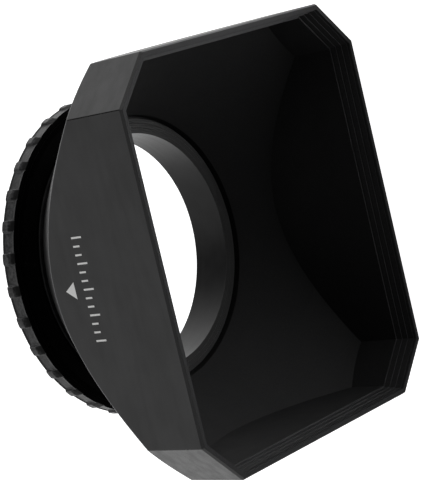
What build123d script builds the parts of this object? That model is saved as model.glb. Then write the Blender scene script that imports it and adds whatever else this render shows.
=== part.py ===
from build123d import *
import math
import os

# Rectangular lens hood for a 43 mm filter thread, in millimetres.
# The optical axis is Y: the mouth faces -Y and the lens is at +Y. +Z is the panel with the
# index mark, and the mouth's long side runs along X. The origin is the centre of the shoulder
# that the lens's front rim seats on. Depths are measured backwards from the mouth.

# --- Hood shell ---
MOUTH_DEPTH = 34.35           # mouth plane, ahead of the lens seat
MOUTH_HALF_X = 34.48
MOUTH_HALF_Z = 30.73
CHAMFER_LEG = 7.65            # 45 degree corner panels of the octagonal mouth
WALL_DRAFT = 0.0239           # the outside narrows by this much per mm towards the rear
RIM_BEVEL = 0.25              # bevel round the outside of the mouth, across
RIM_BEVEL_DEPTH = 0.5
RIM_LAND = 0.75               # flat front of the rim
RIM_EDGE = 0.1                # rounding between the bevel and the flat
TERRACES = 4                  # shallow steps inside the mouth
TERRACE_FIRST = 0.55          # depth of the first step
TERRACE_PITCH = 1.1
TERRACE_STEP = 0.17           # how far each step comes inwards
CONE_SLOPE = 0.8742           # radius gained per mm ahead of the cone's apex
CONE_APEX = 58.3              # depth of the outer cone's apex
CONE_WALL = 2.2               # wall of the cone, measured along the radius
PANEL_EDGE = 0.3              # rounding where the panels meet the cone
CORNER_EDGE = 0.35            # rounding of the long corners of the octagon
FLOOR_FRONT = 30.5
FLOOR_REAR = 31.55
FLANGE_POCKET_RADIUS = 23.4   # room round the collar's flange
FLANGE_POCKET_TOP = 28.85

# --- Mount collar ---
BORE_RADIUS = 20.25
LENS_THREAD_RADIUS = 21.5     # M43 x 0.75
LENS_THREAD_LENGTH = 2.2
RING_THREAD_RADIUS = 22.0     # M44 x 0.75, carries the lock ring and is the hood's bearing
FLANGE_FRONT = 29.45
FLANGE_REAR = 30.45
FLANGE_RADII = (21.15, 22.05, 22.85)   # the flange's front is turned in shallow steps
FLANGE_STEP = 0.1
RUNNING_GAP = 0.05            # radial and axial clearance of the turning fits

# --- Friction washer under the flange, slip washer in front of the lock ring ---
FLANGE_WASHER = (22.25, 22.8, 0.25)    # inner radius, outer radius, thickness
SLIP_WASHER = (22.3, 23.35, 0.5)

# --- Lock ring and its grip band ---
THREAD_PITCH = 0.75
RING_RELEASE = THREAD_PITCH   # the ring stands one turn behind its locked place
WASHER_SEAT_RADIUS = 23.45
WASHER_SEAT_DEPTH = 0.25
HUB_RADIUS = 23.9
HUB_REAR = 34.3
WEB_FRONT = 33.3              # where the dished web leaves the hub
RING_FRONT = 34.21
RING_REAR = 36.88
CORE_INNER_RADIUS = 25.5
CORE_RADIUS = 26.5
BAND_RADIUS = 27.43
LUGS = 32
LUG_HEIGHT = 0.45
LUG_ANGLE = 4.0
LUG_PHASE = 1.05              # turn of the lugs about the axis at rest
LUG_SLOPE = 1.15              # sloping front part of each lug
LUG_NOSE = 0.05               # height at the front end of the slope
LUG_SETBACK = 0.1             # from the ring's front to the slope
LUG_HEEL = 0.2                # bevel at the rear
LUG_ROOT = 0.1                # how far a lug reaches into the band

# --- Printed marks on the +Z panel ---
PRINT_THICKNESS = 0.05
INDEX_BASE_DEPTH = 19.05
INDEX_TIP_DEPTH = 21.15
INDEX_HALF_WIDTH = 1.4
SCALE_DEPTH = 17.15           # rear ends of the scale's strokes
SCALE_STROKES = 13
SCALE_PITCH = 1.4
SCALE_GROUP = 3               # every third stroke is long
SCALE_LONG = 2.2
SCALE_SHORT = 1.4
SCALE_WIDTH = 0.3


def at(depth):
    """Y of a depth behind the mouth plane."""
    return depth - MOUTH_DEPTH


def turned(points):
    """Solid of revolution about the optical axis, from (radius, depth) points."""
    outline = Polyline(*[(radius, at(depth)) for radius, depth in points], close=True)
    return revolve(make_face(outline), axis=Axis.Y, revolution_arc=360)


def octagon(inset, depth):
    """Corners of the mouth's outline, moved inwards by inset, at a depth."""
    half_x = MOUTH_HALF_X - inset
    half_z = MOUTH_HALF_Z - inset
    leg = CHAMFER_LEG - inset * (2 - math.sqrt(2))
    corners = [
        (half_x, half_z - leg),
        (half_x - leg, half_z),
        (leg - half_x, half_z),
        (-half_x, half_z - leg),
        (-half_x, leg - half_z),
        (leg - half_x, -half_z),
        (half_x - leg, -half_z),
        (half_x, leg - half_z),
    ]
    return [(x, at(depth), z) for x, z in corners]


def octagonal_block(inset_front, inset_rear, front, rear):
    """Flat-sided octagonal solid between two depths."""
    near = octagon(inset_front, front)
    far = octagon(inset_rear, rear)
    outlines = [near, far]
    for side in range(len(near)):
        outlines.append([near[side - 1], near[side], far[side], far[side - 1]])
    faces = [make_face(Polyline(*outline, close=True)).face() for outline in outlines]
    return Part() + Solid(Shell(faces))


def cone_radius(depth, wall=0.0):
    return CONE_SLOPE * (CONE_APEX - depth) - wall


def cone_block(wall, front, rear):
    """Solid cone, as far from the outside of the shell as its wall is thick."""
    return turned([
        (0, front),
        (cone_radius(front, wall), front),
        (cone_radius(rear, wall), rear),
        (0, rear),
    ])


def make_hood_shell():
    """One moulding: octagonal mouth, conical back and a floor that turns on the collar."""
    draft = WALL_DRAFT * FLOOR_REAR
    block = octagonal_block(0, draft, 0, FLOOR_REAR)
    corners = block.edges().filter_by(lambda edge: edge.bounding_box().size.Y > FLOOR_REAR / 2)
    block = fillet(corners, CORNER_EDGE)
    outside = block & cone_block(0, 0, FLOOR_REAR)
    panel_ends = outside.edges().filter_by(
        lambda edge: edge.geom_type not in (GeomType.LINE, GeomType.CIRCLE)
    )
    panel_ends = panel_ends.filter_by(lambda edge: edge.length > CHAMFER_LEG / 2)
    outside = fillet(panel_ends, PANEL_EDGE)
    spread = RIM_BEVEL / RIM_BEVEL_DEPTH * FLOOR_REAR
    outside = outside & octagonal_block(RIM_BEVEL, RIM_BEVEL - spread, 0, FLOOR_REAR)
    outside = fillet(outside.faces().sort_by(Axis.Y)[0].edges(), RIM_EDGE)

    rim = RIM_BEVEL + RIM_LAND
    inset = rim + TERRACES * TERRACE_STEP
    cavity = octagonal_block(inset, inset + draft, 0, FLOOR_REAR)
    cavity = cavity & cone_block(CONE_WALL, 0, FLOOR_FRONT)
    for step in range(TERRACES):
        step_inset = rim + step * TERRACE_STEP
        step_depth = TERRACE_FIRST + step * TERRACE_PITCH
        cavity += octagonal_block(step_inset, step_inset, 0, step_depth)

    pocket = turned([
        (0, FLANGE_POCKET_TOP),
        (FLANGE_POCKET_RADIUS, FLANGE_POCKET_TOP),
        (FLANGE_POCKET_RADIUS, FLOOR_FRONT),
        (0, FLOOR_FRONT),
    ])
    bearing = RING_THREAD_RADIUS + RUNNING_GAP
    hole = turned([(0, FLOOR_FRONT), (bearing, FLOOR_FRONT), (bearing, FLOOR_REAR), (0, FLOOR_REAR)])
    return outside - cavity - pocket - hole


def make_mount_collar():
    """Turned tube: stepped front flange, bearing and ring thread, lens thread behind a shoulder."""
    seat = MOUTH_DEPTH
    end = seat + LENS_THREAD_LENGTH
    flange_back = FLANGE_REAR - FLANGE_WASHER[2]
    points = [(BORE_RADIUS, FLANGE_FRONT)]
    for step, radius in enumerate(FLANGE_RADII):
        depth = FLANGE_FRONT + step * FLANGE_STEP
        points += [(radius, depth), (radius, depth + FLANGE_STEP)]
    points[-1] = (FLANGE_RADII[-1], flange_back)
    points += [
        (RING_THREAD_RADIUS, flange_back),
        (RING_THREAD_RADIUS, seat),
        (LENS_THREAD_RADIUS, seat),
        (LENS_THREAD_RADIUS, end),
        (BORE_RADIUS, end),
    ]
    return turned(points)


def make_washer(size, front):
    inner, outer, thickness = size
    return turned([
        (inner, front),
        (outer, front),
        (outer, front + thickness),
        (inner, front + thickness),
    ])


def make_lock_ring():
    """Threaded hub, dished web and the core that carries the grip band."""
    seat_floor = FLOOR_REAR + RUNNING_GAP + SLIP_WASHER[2] + RUNNING_GAP + RING_RELEASE
    bore = RING_THREAD_RADIUS + RUNNING_GAP
    web = HUB_REAR - WEB_FRONT
    return turned([
        (bore, seat_floor),
        (WASHER_SEAT_RADIUS, seat_floor),
        (WASHER_SEAT_RADIUS, seat_floor - WASHER_SEAT_DEPTH),
        (HUB_RADIUS, seat_floor - WASHER_SEAT_DEPTH),
        (HUB_RADIUS, WEB_FRONT),
        (CORE_INNER_RADIUS, RING_FRONT),
        (CORE_RADIUS, RING_FRONT),
        (CORE_RADIUS, RING_REAR),
        (CORE_INNER_RADIUS, RING_REAR),
        (CORE_INNER_RADIUS, RING_FRONT + web),
        (HUB_RADIUS, HUB_REAR),
        (bore, HUB_REAR),
    ])


def make_lug(angle):
    """Raised block on the band, full height at the rear and sloping down to the front."""
    foot = BAND_RADIUS - LUG_ROOT
    top = BAND_RADIUS + LUG_HEIGHT
    front = RING_FRONT + LUG_SETBACK
    outline = Polyline(
        (foot, at(front)),
        (BAND_RADIUS + LUG_NOSE, at(front)),
        (top, at(front + LUG_SLOPE)),
        (top, at(RING_REAR - LUG_HEEL)),
        (BAND_RADIUS, at(RING_REAR)),
        (foot, at(RING_REAR)),
        close=True,
    )
    lug = revolve(make_face(outline), axis=Axis.Y, revolution_arc=LUG_ANGLE)
    return lug.rotate(Axis.Y, angle - LUG_ANGLE / 2)


def make_grip_band():
    """Rubber band on the lock ring, with lugs at an even pitch."""
    band = turned([
        (CORE_RADIUS, RING_FRONT),
        (BAND_RADIUS, RING_FRONT),
        (BAND_RADIUS, RING_REAR),
        (CORE_RADIUS, RING_REAR),
    ])
    lugs = [make_lug(LUG_PHASE + number * 360 / LUGS) for number in range(LUGS)]
    return band.fuse(*lugs)


def panel_plane(depth):
    """Plane on the outside of the +Z panel: local x is +X and local y runs to the rear."""
    tilt = math.atan(WALL_DRAFT)
    rear = (0, math.cos(tilt), -math.sin(tilt))
    out = (0, math.sin(tilt), math.cos(tilt))
    height = MOUTH_HALF_Z - WALL_DRAFT * depth
    across = Vector(*rear).cross(Vector(*out))
    return Plane(origin=(0, at(depth), height), x_dir=across, z_dir=out)


def make_index_mark():
    """Printed triangle that points to the lens and shows which side is up."""
    length = INDEX_TIP_DEPTH - INDEX_BASE_DEPTH
    corners = [(-INDEX_HALF_WIDTH, 0), (INDEX_HALF_WIDTH, 0), (0, length)]
    outline = make_face(Polyline(*corners, close=True))
    return extrude(panel_plane(INDEX_BASE_DEPTH) * outline, PRINT_THICKNESS)


def make_level_scale():
    """Printed row of strokes, for setting the hood level."""
    middle = SCALE_STROKES // 2
    strokes = []
    for number in range(SCALE_STROKES):
        length = SCALE_LONG if (number - middle) % SCALE_GROUP == 0 else SCALE_SHORT
        stroke = Pos((number - middle) * SCALE_PITCH, -length / 2) * Rectangle(SCALE_WIDTH, length)
        strokes.append(extrude(panel_plane(SCALE_DEPTH) * stroke, PRINT_THICKNESS))
    return Compound(children=strokes)


slip_front = FLOOR_REAR + RUNNING_GAP + RING_RELEASE
parts = {
    "hood_shell": make_hood_shell(),
    "mount_collar": make_mount_collar(),
    "flange_washer": make_washer(FLANGE_WASHER, FLANGE_REAR - FLANGE_WASHER[2]),
    "slip_washer": make_washer(SLIP_WASHER, slip_front),
    "lock_ring": make_lock_ring(),
    "grip_band": make_grip_band(),
    "index_mark": make_index_mark(),
    "level_scale": make_level_scale(),
}

os.makedirs("parts", exist_ok=True)
for name, shape in parts.items():
    export_step(shape, f"parts/{name}.step")
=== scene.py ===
import bpy
import math
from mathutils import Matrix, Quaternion, Vector


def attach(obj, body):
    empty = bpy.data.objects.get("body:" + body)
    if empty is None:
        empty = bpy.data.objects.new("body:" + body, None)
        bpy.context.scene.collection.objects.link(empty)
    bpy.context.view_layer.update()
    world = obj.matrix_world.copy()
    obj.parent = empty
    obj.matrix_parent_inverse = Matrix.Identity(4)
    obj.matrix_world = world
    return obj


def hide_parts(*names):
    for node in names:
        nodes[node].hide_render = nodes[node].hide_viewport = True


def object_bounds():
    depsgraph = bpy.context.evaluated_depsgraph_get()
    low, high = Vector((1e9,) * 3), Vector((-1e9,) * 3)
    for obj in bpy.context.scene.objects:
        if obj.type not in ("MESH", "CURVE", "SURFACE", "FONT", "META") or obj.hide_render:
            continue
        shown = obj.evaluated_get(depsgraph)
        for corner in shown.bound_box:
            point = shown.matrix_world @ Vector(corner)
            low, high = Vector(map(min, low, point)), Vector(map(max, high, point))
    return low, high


# A screw-in lens hood of black plastic on a black anodised collar, lying on one long side panel.
# The optical axis is Y and the mouth faces -Y. Lengths are in metres, unless a comment says otherwise.
MM = 0.001
WHITE = (1, 1, 1, 1)

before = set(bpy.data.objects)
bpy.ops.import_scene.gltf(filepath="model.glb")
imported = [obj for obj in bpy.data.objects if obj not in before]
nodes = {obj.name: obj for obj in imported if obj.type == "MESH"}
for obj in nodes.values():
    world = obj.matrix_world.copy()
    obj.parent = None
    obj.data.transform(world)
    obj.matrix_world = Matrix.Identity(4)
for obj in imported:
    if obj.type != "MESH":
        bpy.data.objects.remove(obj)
cad_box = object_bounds()

# --- Camera: a long lens, from above the mouth and rolled on its side ---
VIEW_TARGET = Vector((0.85, -25.4, 7.3)) * MM
VIEW_DISTANCE = 342.5 * MM
VIEW_AZIMUTH = math.radians(10.73)
VIEW_ELEVATION = math.radians(48.6)
VIEW_ROLL = math.radians(-111.55)
VIEW_LENS = 155.0             # focal length in millimetres
VIEW_CLIP = (0.01, 20.0)

# --- Floor: a light table, so it shows no hard shadow ---
FLOOR_SIZE = 4.0
FLOOR_GAP = 0.05 * MM
FLOOR_GREY = 0.85
FLOOR_ROUGHNESS = 0.9
FLOOR_GLOW = 1.0
MOUTH_GLOW = 15.0             # one patch ahead of the mouth is brighter, outside the picture
MOUTH_GLOW_PLACE = (0.034, -0.102)            # x and y of its middle
MOUTH_GLOW_RADII = (0.030, 0.053)             # full inside the first, gone outside the second

# --- Light ---
SKY_LIGHT = 0.74
SKY_SEEN = 0.92               # brightness of the backdrop that the camera sees
FRONT_LIGHT = 0.42            # strength of the sky ahead of the mouth, as a share of the rest
FRONT_LIGHT_EDGES = (-0.45, 0.1)              # directions' y between which it fades
DARK_CARD = Vector((0.444, 0.650, 0.617))     # direction of a dark card behind the object
DARK_CARD_EDGES = (0.87, 0.970)               # cosines of its soft edge
DARK_CARD_LIGHT = 0.05
LAMP_FROM = Vector((0.872, -0.480, -0.100))   # direction of a weak soft box that reaches into the mouth
LAMP_DISTANCE = 0.6           # it stands so low that the floor hides its lower half
LAMP_SIZE = 0.25
LAMP_POWER = 1.2              # watts

# --- Shape, in millimetres from the shoulder that the lens seats on ---
MOUTH_Y = -34.35
RIM_FLAT = 0.6                # depth that the rim's bevel and its flat reach
RIM_LENGTH = 5.0              # depth that the steps behind them reach
THREAD_PITCH = 0.75
THREAD_DEPTH = 0.36
THREAD_FLAT = 0.1             # share of the pitch that is flat at the crest, and as much at the root
THREAD_RUN_IN = 0.3           # a thread grows to its full depth over this length
THREAD_RUN_OUT = (0.02, 0.25)                 # and shrinks between these distances from its end
BORE_RADIUS = 20.25
LENS_THREAD_RADIUS = 21.5
LENS_THREAD_FRONT = 0.1
LENS_THREAD_END = 2.2
LENS_THREAD_RELIEF = 0.25     # length over which the relief groove at the shoulder runs out
RING_THREAD_RADIUS = 22.0
RING_THREAD_FRONT = -2.75     # ahead of this the collar is the hood's plain bearing
FLANGE_FRONT = -4.9
FLANGE_REAR = -4.15           # where the friction washer lies
FLANGE_RADII = (21.15, 22.05, 22.85)
FLANGE_STEP = 0.1
FLANGE_POINTS = 8             # mesh points across each step of the flange
FLANGE_GROOVE = 0.03
EDGE_BREAK = 0.05
RING_FRONT = -0.14
RING_REAR = 2.53
CORE_RADIUS = 26.5
CORE_GAP = 0.02
BAND_RADIUS = 27.43
BAND_END_ROUND = 0.12
BEAD_HEIGHT = 0.13            # low rim at both ends of the band, between the lugs
BEAD_WIDTHS = (0.22, 0.5)
LUGS = 32
LUG_HEIGHT = 0.45
LUG_ANGLE = 4.0
LUG_PHASE = 1.05
LUG_SETBACK = 0.1
LUG_SLOPE = 1.15
LUG_HEEL = 0.18
LUG_CROWN = 0.06              # how far a lug's top falls towards its sides
LUG_SIDE_ROUND = 0.3
LUG_COLUMNS = 28              # mesh columns for each lug and its gap
BAND_ROWS = 30
COLLAR_COLUMNS = 256
RING_THREAD_ROWS = 44
LENS_THREAD_ROWS = 34
SMOOTH_ANGLE = math.radians(38)               # edges that bend more than this stay sharp

# --- Which faces take which finish: limits on the y of a face's normal ---
FORWARD = -0.2                # looks out of the mouth
SQUARE_ON = -0.8              # lies nearly square to the axis
RING_FORWARD = -0.6
SLOPE_FORWARD = -0.25
REARWARD = 0.5

# --- and on its centre dotted with its normal, both without their y, in millimetres ---
LOOKS_OUT = 1.0               # away from the axis
LOOKS_IN = -1.0               # towards the axis
LOOKS_ALONG = 0.5             # along the axis, or towards it

# --- Patterns: a noise stays near 0.5, and these ranges stretch it to 0..1 ---
FIRM = (0.35, 0.65)
GENTLE = (0.3, 0.7)
PLASTIC_GRAIN = 5.5           # per millimetre
EDGE_BEND = (0.995, 0.9)      # cosines between a face and its rounded edge
EDGE_SAMPLES = 6


def make_camera():
    level = math.cos(VIEW_ELEVATION)
    forward = Vector((
        -math.sin(VIEW_AZIMUTH) * level,
        math.cos(VIEW_AZIMUTH) * level,
        -math.sin(VIEW_ELEVATION),
    ))
    roll = Quaternion((0, 0, 1), VIEW_ROLL)
    data = bpy.data.cameras.new("camera")
    data.lens = VIEW_LENS
    data.clip_start, data.clip_end = VIEW_CLIP
    camera = bpy.data.objects.new("camera", data)
    bpy.context.scene.collection.objects.link(camera)
    camera.rotation_mode = "QUATERNION"
    camera.rotation_quaternion = forward.to_track_quat("-Z", "Y") @ roll
    camera.location = VIEW_TARGET - forward * VIEW_DISTANCE
    bpy.context.scene.camera = camera


def soft_box(name, place, size, power):
    """Square area light at a place round the object, aimed at its middle."""
    data = bpy.data.lights.new(name, "AREA")
    data.shape = "SQUARE"
    data.size = size
    data.energy = power
    light = bpy.data.objects.new(name, data)
    light.location = place
    light.rotation_mode = "QUATERNION"
    light.rotation_quaternion = (VIEW_TARGET - place).to_track_quat("-Z", "Y")
    bpy.context.scene.collection.objects.link(light)


class Nodes:
    """Short forms for the nodes of one tree. A value is a number, a tuple or another node's output."""

    def __init__(self, tree):
        self.tree = tree

    def add(self, kind, **settings):
        node = self.tree.nodes.new("ShaderNode" + kind)
        for name, value in settings.items():
            setattr(node, name, value)
        return node

    def feed(self, socket, value):
        if isinstance(value, bpy.types.NodeSocket):
            self.tree.links.new(value, socket)
        else:
            socket.default_value = value

    def vector(self, operation, first, second):
        node = self.add("VectorMath", operation=operation)
        self.feed(node.inputs[0], first)
        self.feed(node.inputs[1], second)
        return node.outputs["Value" if operation in ("DOT_PRODUCT", "DISTANCE") else "Vector"]

    def split(self, vector):
        """The X, Y and Z of a vector."""
        node = self.add("SeparateXYZ")
        self.feed(node.inputs[0], vector)
        return node.outputs

    def math(self, operation, *values):
        node = self.add("Math", operation=operation)
        for socket, value in zip(node.inputs, values):
            self.feed(socket, value)
        return node.outputs[0]

    def times(self, first, second):
        return self.math("MULTIPLY", first, second)

    def shift(self, value, share, by):
        """The value, moved by an amount where share is 1."""
        return self.math("MULTIPLY_ADD", share, by, value)

    def spread(self, value, low, high, to_low=0.0, to_high=1.0):
        """Maps low..high onto to_low..to_high, and stops at the ends."""
        node = self.add("MapRange", interpolation_type="SMOOTHSTEP")
        numbers = {"Value": value, "From Min": low, "From Max": high, "To Min": to_low, "To Max": to_high}
        for name, number in numbers.items():
            self.feed(node.inputs[name], number)
        return node.outputs[0]

    def between(self, value, rise, fall):
        """1 where the value is past its rise and short of its fall."""
        return self.times(self.spread(value, *rise), self.spread(value, *fall, 1.0, 0.0))

    def mix(self, share, first, second):
        """Colour between first and second."""
        node = self.add("Mix", data_type="RGBA")
        self.feed(node.inputs["Factor"], share)
        colours = [socket for socket in node.inputs if socket.type == "RGBA"]
        for socket, value in zip(colours, (first, second)):
            self.feed(socket, value if isinstance(value, bpy.types.NodeSocket) else (*value, 1))
        return next(socket for socket in node.outputs if socket.type == "RGBA")

    def tint(self, colour, share, strength, other):
        """The colour, mixed with another up to a strength where share is 1."""
        return self.mix(self.times(share, strength), colour, other)


def make_world():
    """Even light all round, weaker ahead of the mouth and dark at one card.
    The camera itself sees a pale backdrop."""
    world = bpy.data.worlds.new("studio")
    bpy.context.scene.world = world
    world.use_nodes = True
    world.node_tree.nodes.clear()
    sky = Nodes(world.node_tree)
    direction = sky.add("TexCoord").outputs["Generated"]
    toward_card = sky.vector("DOT_PRODUCT", direction, DARK_CARD)
    off_card = sky.spread(toward_card, *DARK_CARD_EDGES, SKY_LIGHT, DARK_CARD_LIGHT)
    share = sky.spread(sky.split(direction)["Y"], *FRONT_LIGHT_EDGES, FRONT_LIGHT, 1.0)
    mix = sky.add("MixShader")
    sky.feed(mix.inputs["Fac"], sky.add("LightPath").outputs["Is Camera Ray"])
    for socket, strength in ((mix.inputs[1], sky.times(off_card, share)), (mix.inputs[2], SKY_SEEN)):
        background = sky.add("Background")
        sky.feed(background.inputs["Color"], WHITE)
        sky.feed(background.inputs["Strength"], strength)
        sky.feed(socket, background.outputs[0])
    sky.feed(sky.add("OutputWorld").inputs["Surface"], mix.outputs[0])


def make_floor():
    """Plain pale floor just under the object, with a brighter patch ahead of the mouth."""
    bottom = cad_box[0].z - FLOOR_GAP
    half = FLOOR_SIZE / 2
    corners = [(-half, -half, bottom), (half, -half, bottom), (half, half, bottom), (-half, half, bottom)]
    mesh = bpy.data.meshes.new("floor")
    mesh.from_pydata(corners, [], [(0, 1, 2, 3)])
    floor = bpy.data.objects.new("floor", mesh)
    bpy.context.scene.collection.objects.link(floor)
    material = bpy.data.materials.new("floor")
    material.use_nodes = True
    pattern = Nodes(material.node_tree)
    place = pattern.add("TexCoord").outputs["Object"]
    away = pattern.vector("DISTANCE", place, (*MOUTH_GLOW_PLACE, bottom))
    shader = material.node_tree.nodes["Principled BSDF"]
    for name, value in (
        ("Base Color", (FLOOR_GREY, FLOOR_GREY, FLOOR_GREY, 1)),
        ("Roughness", FLOOR_ROUGHNESS),
        ("Emission Color", WHITE),
        ("Emission Strength", pattern.spread(away, *MOUTH_GLOW_RADII, MOUTH_GLOW, FLOOR_GLOW)),
    ):
        pattern.feed(shader.inputs[name], value)
    mesh.materials.append(material)


class Surface(Nodes):
    """One procedural material. Its patterns are measured in millimetres of the object's own space."""

    def __init__(self, name, specular=0.5):
        self.material = bpy.data.materials.new(name)
        self.material.use_nodes = True
        super().__init__(self.material.node_tree)
        self.shader = self.tree.nodes["Principled BSDF"]
        self.feed(self.shader.inputs["Specular IOR Level"], specular)
        coordinates = self.add("TexCoord")
        self.normal = coordinates.outputs["Normal"]
        self.place = self.vector("MULTIPLY", coordinates.outputs["Object"], (1 / MM, 1 / MM, 1 / MM))

    def toward_mouth(self):
        """Cosine between the surface and the way out of the mouth."""
        return self.vector("DOT_PRODUCT", self.normal, (0, -1, 0))

    def turned(self, along=0.0):
        """A place from which patterns come out as rings round the axis."""
        axes = self.split(self.place)
        square = self.times(axes["X"], axes["X"])
        square = self.math("MULTIPLY_ADD", axes["Z"], axes["Z"], square)
        node = self.add("CombineXYZ")
        self.feed(node.inputs["X"], self.math("SQRT", square))
        self.feed(node.inputs["Y"], along)
        return node.outputs[0]

    def noise(self, per_mm, detail=2.0, stretch=(1, 1, 1), place=None):
        node = self.add("TexNoise")
        self.feed(node.inputs["Scale"], per_mm)
        self.feed(node.inputs["Detail"], detail)
        self.feed(node.inputs["Vector"], self.vector("MULTIPLY", place or self.place, stretch))
        return node.outputs["Fac"]

    def bump(self, height, depth_mm, before=None):
        node = self.add("Bump")
        self.feed(node.inputs["Strength"], 1.0)
        self.feed(node.inputs["Distance"], depth_mm * MM)
        self.feed(node.inputs["Height"], height)
        if before is not None:
            self.feed(node.inputs["Normal"], before)
        return node.outputs["Normal"]

    def sharp_edge_mask(self, radius_mm, low, high):
        """1 on sharp edges and 0 on open faces, broken up by noise."""
        bevel = self.add("Bevel", samples=EDGE_SAMPLES)
        self.feed(bevel.inputs["Radius"], radius_mm * MM)
        geometry = self.add("NewGeometry")
        bend = self.vector("DOT_PRODUCT", bevel.outputs[0], geometry.outputs["Normal"])
        broken = self.spread(self.noise(per_mm=1.1, detail=3.0), low, high)
        return self.times(self.spread(bend, *EDGE_BEND), broken)

    def finish(self, colour, roughness, normal):
        self.feed(self.shader.inputs["Base Color"], colour)
        self.feed(self.shader.inputs["Roughness"], roughness)
        self.feed(self.shader.inputs["Normal"], normal)
        return self.material


def grey(level):
    """Very slightly cool grey."""
    return (level, level, level * 1.03)


def hood_plastic():
    """Satin black moulding: the outside of the hood, with scuffed edges and faint scratches. The light
    tint on its sharp edges also serves as a painted highlight.
    """
    surface = Surface("hood_plastic")
    grain = surface.noise(per_mm=PLASTIC_GRAIN, detail=4.0)
    mottle = surface.noise(per_mm=0.16, detail=3.0)
    smears = surface.noise(per_mm=0.5, detail=3.0, stretch=(0.25, 1.6, 1.0))
    scratches = surface.spread(surface.noise(per_mm=1.3, stretch=(9.0, 0.5, 3.0)), 0.70, 0.74)

    # The rounded corners between the panels get painted shade, a dark line, and are glossier and aren't
    # scuffed. The ridge between the panels and the cone gets a painted highlight. Both are found by the
    # way they face.
    axes = surface.split(surface.normal)
    slant = surface.math("ABSOLUTE", surface.times(axes["X"], axes["Z"]))
    corner = surface.between(slant, rise=(0.04, 0.12), fall=(0.40, 0.44))
    corner = surface.times(corner, surface.spread(axes["Y"], 0.05, 0.15, 1.0, 0.0))
    painted_ridge_highlight = surface.between(axes["Y"], rise=(0.08, 0.2), fall=(0.5, 0.62))
    edge_tint = surface.sharp_edge_mask(radius_mm=0.22, low=0.25, high=0.6)
    edge_tint = surface.times(edge_tint, surface.math("SUBTRACT", 1.0, corner))

    colour = surface.mix(surface.spread(mottle, *FIRM), grey(0.0125), grey(0.0185))
    # Light tint on sharp edges: scuffing, and partly a painted highlight.
    colour = surface.tint(colour, edge_tint, 0.6, grey(0.11))
    colour = surface.tint(colour, scratches, 0.25, grey(0.045))
    # Painted shade along the rounded corners, and a painted highlight along the ridge.
    colour = surface.mix(corner, colour, grey(0.004))
    colour = surface.mix(painted_ridge_highlight, colour, grey(0.10))
    rough = surface.spread(smears, *GENTLE, 0.38, 0.47)
    rough = surface.shift(rough, surface.spread(grain, *GENTLE), by=0.05)
    rough = surface.shift(rough, edge_tint, by=-0.06)
    rough = surface.shift(rough, corner, by=-0.2)
    ripple = surface.bump(mottle, depth_mm=0.05)
    return surface.finish(colour, rough, surface.bump(grain, depth_mm=0.006, before=ripple))


def matt_plastic(name, low, high, roughness, specular):
    """Deep matt black with a little dust, between two grey levels."""
    surface = Surface(name, specular)
    grain = surface.noise(per_mm=PLASTIC_GRAIN, detail=4.0)
    patches = surface.noise(per_mm=0.3, detail=3.0)
    dust = surface.spread(surface.noise(per_mm=2.6, detail=1.0), 0.74, 0.78)
    colour = surface.mix(surface.spread(grain, 0.4, 0.6), grey(low), grey(high))
    colour = surface.tint(colour, dust, 0.3, grey(0.03))
    rough = surface.spread(patches, *GENTLE, roughness - 0.03, roughness + 0.03)
    return surface.finish(colour, rough, surface.bump(grain, depth_mm=0.006))


def anodised():
    """Turned and black anodised aluminium, with tool marks round the axis. It is darker and duller where
    it faces out of the mouth.
    """
    surface = Surface("black_anodised", specular=0.3)
    front = surface.spread(surface.toward_mouth(), 0.5, 0.9)
    marks = surface.noise(per_mm=9.0, place=surface.turned(surface.split(surface.place)["Y"]))
    cloud = surface.noise(per_mm=0.35, detail=3.0)
    speck = surface.noise(per_mm=7.0)
    edge_tint = surface.sharp_edge_mask(radius_mm=0.12, low=0.3, high=0.6)
    colour = surface.mix(surface.spread(cloud, *FIRM), grey(0.006), grey(0.010))
    colour = surface.tint(colour, surface.spread(marks, 0.5, 0.7), 0.35, grey(0.02))
    colour = surface.tint(colour, edge_tint, 0.5, grey(0.15))
    colour = surface.mix(front, colour, grey(0.003))
    rough = surface.spread(marks, *GENTLE, 0.34, 0.46)
    rough = surface.shift(rough, surface.spread(speck, *GENTLE), by=0.04)
    rough = surface.shift(rough, front, by=0.25)
    return surface.finish(colour, rough, surface.bump(marks, depth_mm=0.004))


def grip_rubber():
    """Dull black rubber, mottled by handling. A painted highlight lightens its edges, and painted shade
    makes what faces the mouth darker; that is also duller.
    """
    surface = Surface("grip_rubber", specular=0.42)
    grain = surface.noise(per_mm=6.0, detail=4.0)
    mottle = surface.noise(per_mm=2.0, detail=4.0)
    blotch = surface.noise(per_mm=0.6, detail=3.0)
    front = surface.spread(surface.toward_mouth(), 0.1, 0.5)
    edge_tint = surface.sharp_edge_mask(radius_mm=0.25, low=0.1, high=0.4)
    colour = surface.mix(surface.spread(mottle, *FIRM), grey(0.006), grey(0.055))
    colour = surface.mix(surface.spread(blotch, 0.4, 0.65, 0.0, 0.6), colour, grey(0.012))
    # Painted highlight on the edges, and painted shade on what faces the mouth.
    colour = surface.tint(colour, edge_tint, 0.7, grey(0.17))
    colour = surface.tint(colour, front, 0.8, grey(0.004))
    rough = surface.spread(mottle, *GENTLE, 0.42, 0.56)
    rough = surface.shift(rough, front, by=0.25)
    uneven = surface.bump(mottle, depth_mm=0.08)
    return surface.finish(colour, rough, surface.bump(grain, depth_mm=0.01, before=uneven))


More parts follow.
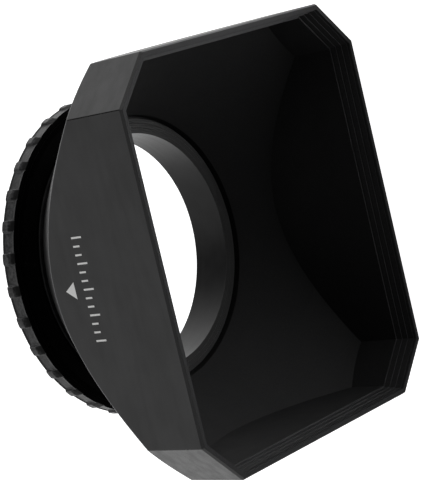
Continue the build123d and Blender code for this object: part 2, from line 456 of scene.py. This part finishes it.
def lug_slope():
    """Rubber of the lugs' slopes, with painted shade that makes it nearly black at the front; at the
    crest it is as dull as the rest.
    """
    surface = Surface("ring_slope", specular=0.12)
    mottle = surface.noise(per_mm=2.0, detail=4.0)
    wander = surface.shift(surface.split(surface.place)["Y"], surface.noise(per_mm=0.9), by=0.8)
    crest = RING_FRONT + LUG_SETBACK + LUG_SLOPE
    share = surface.spread(wander, crest - 0.45, crest + 0.65)
    colour = surface.mix(surface.spread(mottle, *FIRM), grey(0.008), grey(0.06))
    # Painted shade, deepest at the front.
    colour = surface.mix(share, grey(0.001), colour)
    rough = surface.spread(mottle, *GENTLE, 0.48, 0.62)
    return surface.finish(colour, rough, surface.bump(mottle, depth_mm=0.08))


def slip_plastic():
    """Smooth dark nylon, polished in rings by the lock ring."""
    surface = Surface("slip_plastic", specular=0.2)
    rings = surface.noise(per_mm=6.0, place=surface.turned())
    cloud = surface.noise(per_mm=0.8, detail=3.0)
    colour = surface.mix(surface.spread(cloud, *FIRM), grey(0.010), grey(0.018))
    rough = surface.spread(rings, *GENTLE, 0.3, 0.5)
    return surface.finish(colour, rough, surface.bump(rings, depth_mm=0.004))


def fibre():
    """Dark vulcanised fibre, with short strands pressed flat."""
    surface = Surface("fibre", specular=0.3)
    strands = surface.noise(per_mm=2.2, detail=4.0, stretch=(0.5, 3.0, 2.5))
    grain = surface.noise(per_mm=9.0, detail=3.0)
    colour = surface.mix(surface.spread(strands, *FIRM), (0.038, 0.033, 0.028), (0.065, 0.058, 0.05))
    rough = surface.spread(grain, *GENTLE, 0.62, 0.8)
    return surface.finish(colour, rough, surface.bump(strands, depth_mm=0.01))


def white_print():
    """Pad-printed white ink, a little thin in places."""
    surface = Surface("white_print", specular=0.3)
    thin = surface.spread(surface.noise(per_mm=2.0, detail=4.0), 0.62, 0.8)
    film = surface.noise(per_mm=9.0, detail=3.0)
    colour = surface.mix(surface.spread(film, *GENTLE), (0.80, 0.80, 0.79), (0.88, 0.88, 0.87))
    colour = surface.tint(colour, thin, 0.35, grey(0.3))
    rough = surface.spread(film, *GENTLE, 0.45, 0.6)
    return surface.finish(colour, rough, surface.bump(film, depth_mm=0.004))


def dress(node, *materials):
    """Gives a CAD node these materials, in this order. Its mesh stays as it is."""
    mesh = nodes[node].data
    mesh.materials.clear()
    for material in materials:
        mesh.materials.append(material)
    return mesh


def dress_hood_shell():
    """Satin outside, matt inside, and in between the rim's bevel and flat, and the steps and risers. All
    six are copies of one black moulding with painted light and shade: the inside is matt and also
    darkened with painted shade, the rim's bevel and flat are a little darker with painted shade, the
    steps are lighter with a painted highlight, and the risers are darker with painted shade.
    """
    outside, inside, bevel, rim, step, riser = range(6)
    # Lit and shaded copies of one black: their colours are painted light and shade.
    mesh = dress(
        "hood_shell",
        hood_plastic(),
        matt_plastic("hood_inside", low=0.0040, high=0.0070, roughness=0.68, specular=0.09),
        matt_plastic("hood_bevel", low=0.010, high=0.016, roughness=0.5, specular=0.35),
        matt_plastic("hood_rim", low=0.010, high=0.016, roughness=0.75, specular=0.02),
        matt_plastic("hood_steps", low=0.018, high=0.028, roughness=0.65, specular=0.04),
        matt_plastic("hood_risers", low=0.0070, high=0.0110, roughness=0.65, specular=0.1),
    )
    for face in mesh.polygons:
        depth = face.center.y / MM - MOUTH_Y
        outward = (face.center.x * face.normal.x + face.center.z * face.normal.z) / MM
        forward = face.normal.y < FORWARD
        if forward and depth < RIM_FLAT:
            slanting = outward > LOOKS_OUT and face.normal.y > SQUARE_ON
            face.material_index = bevel if slanting else rim
        elif forward and depth < RIM_LENGTH:
            face.material_index = step
        elif outward < LOOKS_IN and depth < RIM_LENGTH:
            face.material_index = riser
        elif outward < LOOKS_ALONG and face.normal.y < REARWARD:
            face.material_index = inside
        else:
            face.material_index = outside


def blacken_front(mesh):
    """Sorts the faces of a piece of the lock ring between its own finish, the ring's front, which is
    painted dead black as shade, and the lugs' slopes, which carry painted shade."""
    own, front, slope = range(3)
    crest = (RING_FRONT + LUG_SETBACK + LUG_SLOPE) * MM
    for face in mesh.polygons:
        if face.normal.y < RING_FORWARD or face.center.y < RING_FRONT * MM:
            face.material_index = front
        elif face.normal.y < SLOPE_FORWARD and face.center.y < crest:
            face.material_index = slope
        else:
            face.material_index = own


def grid_ring(name, columns, profile_at, *materials):
    """Closed ring mesh: profile_at(angle) gives one closed loop of (radius, y) in millimetres."""
    points = []
    for column in range(columns):
        angle = 2 * math.pi * column / columns
        for radius, y in profile_at(angle):
            points.append((radius * math.cos(angle) * MM, y * MM, radius * math.sin(angle) * MM))
    rows = len(points) // columns
    faces = []
    for column in range(columns):
        this = column * rows
        following = (column + 1) % columns * rows
        for row in range(rows):
            above = (row + 1) % rows
            faces.append((this + row, this + above, following + above, following + row))
    mesh = bpy.data.meshes.new(name)
    mesh.from_pydata(points, [], faces)
    mesh.validate()
    for material in materials:
        mesh.materials.append(material)
    piece = bpy.data.objects.new(name, mesh)
    bpy.context.scene.collection.objects.link(piece)
    bpy.context.view_layer.objects.active = piece
    piece.select_set(True)
    bpy.ops.object.shade_smooth_by_angle(angle=SMOOTH_ANGLE)
    piece.select_set(False)
    return piece


def smooth(value, low, high):
    """0 below low, 1 above high, and an S curve in between."""
    share = min(max((value - low) / (high - low), 0.0), 1.0)
    return share * share * (3 - 2 * share)


def steps(low, high, count):
    """count + 1 evenly spaced numbers, from low to high."""
    return [low + (high - low) * number / count for number in range(count + 1)]


def grip_band(*painted_ring_shades):
    """Rubber band with rounded lugs, each sloping down to the front."""
    pitch = 2 * math.pi / LUGS
    half = math.radians(LUG_ANGLE) / 2
    soft = LUG_SIDE_ROUND / BAND_RADIUS / 2

    def profile_at(angle):
        turn = (angle + math.radians(LUG_PHASE) + pitch / 2) % pitch - pitch / 2
        across = 1 - smooth(abs(turn), half - soft, half + soft)
        top = LUG_HEIGHT - LUG_CROWN * min(abs(turn) / half, 1) ** 2
        loop = []
        for y in steps(RING_FRONT, RING_REAR, BAND_ROWS):
            rise = min(max((y - RING_FRONT - LUG_SETBACK) / LUG_SLOPE, 0.0), 1.0)
            fall = 1 - smooth(y, RING_REAR - LUG_HEEL, RING_REAR)
            edge = min(y - RING_FRONT, RING_REAR - y)
            inset = max(BAND_END_ROUND - edge, 0)
            sunk = BAND_END_ROUND - math.sqrt(max(BAND_END_ROUND ** 2 - inset ** 2, 0))
            bead = BEAD_HEIGHT * (1 - smooth(edge, *BEAD_WIDTHS)) * (1 - across)
            loop.append((BAND_RADIUS + max(top * across * rise * fall, bead) - sunk, y))
        loop.append((CORE_RADIUS + CORE_GAP, RING_REAR))
        loop.append((CORE_RADIUS + CORE_GAP, RING_FRONT))
        return loop

    piece = grid_ring("grip_band_detail", LUGS * LUG_COLUMNS, profile_at, grip_rubber(), *painted_ring_shades)
    blacken_front(piece.data)
    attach(piece, "lock_ring")
    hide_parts("grip_band")


def thread(y, angle, front, rear):
    """How deep a right-handed thread lies under its crest. It gets shallower towards both ends."""
    turn = (y / THREAD_PITCH + angle / (2 * math.pi)) % 1.0
    cut = (abs(2 * turn - 1) - THREAD_FLAT) / (1 - 2 * THREAD_FLAT)
    run_in = smooth(y, front, front + THREAD_RUN_IN)
    run_out = smooth(rear - y, *THREAD_RUN_OUT)
    return THREAD_DEPTH * min(max(cut, 0.0), 1.0) * min(run_in, run_out)


def mount_collar():
    """Turned collar with a stepped, finely grooved flange and two helical threads."""
    def profile_at(angle):
        loop = [(BORE_RADIUS, LENS_THREAD_END - EDGE_BREAK), (BORE_RADIUS, FLANGE_FRONT + EDGE_BREAK)]
        inner = BORE_RADIUS + EDGE_BREAK
        for number, radius in enumerate(FLANGE_RADII):
            y = FLANGE_FRONT + number * FLANGE_STEP
            for place, land in enumerate(steps(inner, radius - EDGE_BREAK, FLANGE_POINTS)):
                grooved = place % 4 == 2         # two grooves in every step
                loop.append((land, y + (FLANGE_GROOVE if grooved else 0)))
            loop.append((radius, y + EDGE_BREAK))
            inner = radius + EDGE_BREAK / 2
        loop += [
            (FLANGE_RADII[-1], FLANGE_REAR - EDGE_BREAK),
            (FLANGE_RADII[-1] - EDGE_BREAK, FLANGE_REAR),
            (RING_THREAD_RADIUS, FLANGE_REAR),
        ]
        for y in steps(RING_THREAD_FRONT, -EDGE_BREAK, RING_THREAD_ROWS):
            loop.append((RING_THREAD_RADIUS - thread(y, angle, RING_THREAD_FRONT, 0), y))
        loop += [(RING_THREAD_RADIUS - EDGE_BREAK, 0), (LENS_THREAD_RADIUS - THREAD_DEPTH, 0)]
        for y in steps(LENS_THREAD_FRONT, LENS_THREAD_END - 2 * EDGE_BREAK, LENS_THREAD_ROWS):
            relief = 1 - smooth(y, LENS_THREAD_FRONT, LENS_THREAD_FRONT + LENS_THREAD_RELIEF)
            cut = thread(y, angle, LENS_THREAD_FRONT, LENS_THREAD_END - EDGE_BREAK)
            loop.append((LENS_THREAD_RADIUS - max(THREAD_DEPTH * relief, cut), y))
        loop += [
            (LENS_THREAD_RADIUS - 3 * EDGE_BREAK, LENS_THREAD_END),
            (BORE_RADIUS + EDGE_BREAK, LENS_THREAD_END),
        ]
        return loop

    piece = grid_ring("mount_collar_detail", COLLAR_COLUMNS, profile_at, anodised())
    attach(piece, "collar")
    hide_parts("mount_collar")


make_camera()
make_world()
make_floor()
soft_box("mouth_light", VIEW_TARGET + LAMP_FROM * LAMP_DISTANCE, LAMP_SIZE, LAMP_POWER)
bpy.context.scene.view_settings.view_transform = "Standard"

# Painted shade: the dead black of the lock ring's front.
ring_front = matt_plastic("ring_front", low=0.0004, high=0.0008, roughness=0.7, specular=0.015)
ring_slope = lug_slope()
dress_hood_shell()
mount_collar()
grip_band(ring_front, ring_slope)
ring_plastic = matt_plastic("ring_plastic", low=0.006, high=0.011, roughness=0.45, specular=0.4)
blacken_front(dress("lock_ring", ring_plastic, ring_front, ring_slope))
dress("slip_washer", slip_plastic())
dress("flange_washer", fibre())
print_ink = white_print()
dress("index_mark", print_ink)
dress("level_scale", print_ink)
